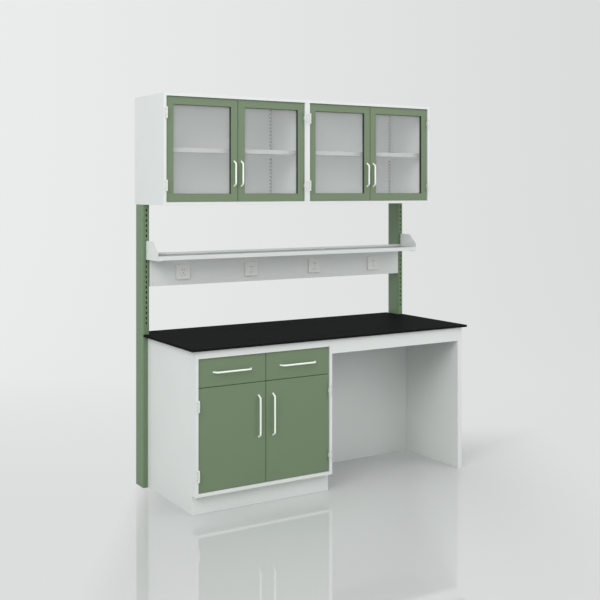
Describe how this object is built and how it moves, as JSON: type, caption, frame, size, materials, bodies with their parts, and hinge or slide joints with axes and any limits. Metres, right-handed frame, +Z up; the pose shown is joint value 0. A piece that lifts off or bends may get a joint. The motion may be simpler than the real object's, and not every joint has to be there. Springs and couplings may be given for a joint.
{
  "type": "lab bench with reagent shelf",
  "caption": "Steel laboratory bench: black worktop over a base cupboard and knee space, slotted posts carrying a glass reagent shelf, a socket trunking and glazed wall cabinets.",
  "frame": {"origin": "on the floor under the middle of the bench's box", "axes": "+Z up, +Y to the rear, +X to the right as seen from the front"},
  "size_m": [1.8, 0.75, 2.17],
  "materials": {
    "white_steel": "satin powder coat",
    "green_steel": "satin powder coat",
    "green_front": "satin powder coat",
    "black_worktop": "fine matt laminate board",
    "white_nylon": "smooth",
    "white_plastic": "smooth",
    "clear_glass": "clear float glass",
    "tinted_glass": "grey tinted toughened glass"
  },
  "bodies": {
    "bench": {"worktop": "black_worktop", "left_post": "green_steel", "right_post": "green_steel", "base_left_side": "white_steel", "base_right_side": "white_steel", "base_bottom": "white_steel", "base_plinth": "white_steel", "base_back": "white_steel", "base_top_frame": "white_steel", "base_shelf": "white_steel", "apron_rail": "white_steel", "knee_back_panel": "white_steel", "right_end_panel": "white_steel", "shelf_bracket_left": "white_steel", "shelf_bracket_right": "white_steel", "reagent_shelf_frame": "white_steel", "reagent_shelf_glass": "tinted_glass", "socket_trunking": "white_steel", "socket_1": "white_plastic", "socket_2": "white_plastic", "socket_3": "white_plastic", "socket_4": "white_plastic", "wall_cabinet_left": "white_steel", "wall_cabinet_left_shelf": "white_steel", "wall_cabinet_right": "white_steel", "wall_cabinet_right_shelf": "white_steel", "base_door_left_lower_hinge": "white_steel", "base_door_left_upper_hinge": "white_steel", "base_door_right_lower_hinge": "white_steel", "base_door_right_upper_hinge": "white_steel", "wall_door_1_lower_hinge": "white_steel", "wall_door_1_upper_hinge": "white_steel", "wall_door_2_lower_hinge": "white_steel", "wall_door_2_upper_hinge": "white_steel", "wall_door_3_lower_hinge": "white_steel", "wall_door_3_upper_hinge": "white_steel", "wall_door_4_lower_hinge": "white_steel", "wall_door_4_upper_hinge": "white_steel"},
    "base_door_left": {"base_door_left": "green_front", "base_door_left_handle": "white_nylon"},
    "base_door_right": {"base_door_right": "green_front", "base_door_right_handle": "white_nylon"},
    "wall_door_1": {"wall_door_1": "green_steel", "wall_door_1_pane": "clear_glass", "wall_door_1_handle": "white_nylon"},
    "wall_door_2": {"wall_door_2": "green_steel", "wall_door_2_pane": "clear_glass", "wall_door_2_handle": "white_nylon"},
    "wall_door_3": {"wall_door_3": "green_steel", "wall_door_3_pane": "clear_glass", "wall_door_3_handle": "white_nylon"},
    "wall_door_4": {"wall_door_4": "green_steel", "wall_door_4_pane": "clear_glass", "wall_door_4_handle": "white_nylon"},
    "drawer_left": {"drawer_left_front": "green_front", "drawer_left_box": "white_steel", "drawer_left_handle": "white_nylon"},
    "drawer_right": {"drawer_right_front": "green_front", "drawer_right_box": "white_steel", "drawer_right_handle": "white_nylon"}
  },
  "joints": [
    {"name": "base_door_left_hinge", "type": "hinge", "parent": "bench", "child": "base_door_left", "pos_m": [-0.856, -0.3618, 0.384], "axis": [0, 0, -1], "range_deg": [0, 110]},
    {"name": "base_door_right_hinge", "type": "hinge", "parent": "bench", "child": "base_door_right", "pos_m": [-0.066, -0.3618, 0.384], "axis": [0, 0, 1], "range_deg": [0, 110]},
    {"name": "wall_door_1_hinge", "type": "hinge", "parent": "bench", "child": "wall_door_1", "pos_m": [-0.883, -0.0298, 1.87], "axis": [0, 0, -1], "range_deg": [0, 110]},
    {"name": "wall_door_2_hinge", "type": "hinge", "parent": "bench", "child": "wall_door_2", "pos_m": [-0.01715, -0.0298, 1.87], "axis": [0, 0, 1], "range_deg": [0, 85]},
    {"name": "wall_door_3_hinge", "type": "hinge", "parent": "bench", "child": "wall_door_3", "pos_m": [0.01715, -0.0298, 1.87], "axis": [0, 0, -1], "range_deg": [0, 85]},
    {"name": "wall_door_4_hinge", "type": "hinge", "parent": "bench", "child": "wall_door_4", "pos_m": [0.883, -0.0298, 1.87], "axis": [0, 0, 1], "range_deg": [0, 110]},
    {"name": "drawer_left_slide", "type": "slide", "parent": "bench", "child": "drawer_left", "axis": [0, -1, 0], "range_m": [0, 0.35]},
    {"name": "drawer_right_slide", "type": "slide", "parent": "bench", "child": "drawer_right", "axis": [0, -1, 0], "range_m": [0, 0.35]}
  ]
}
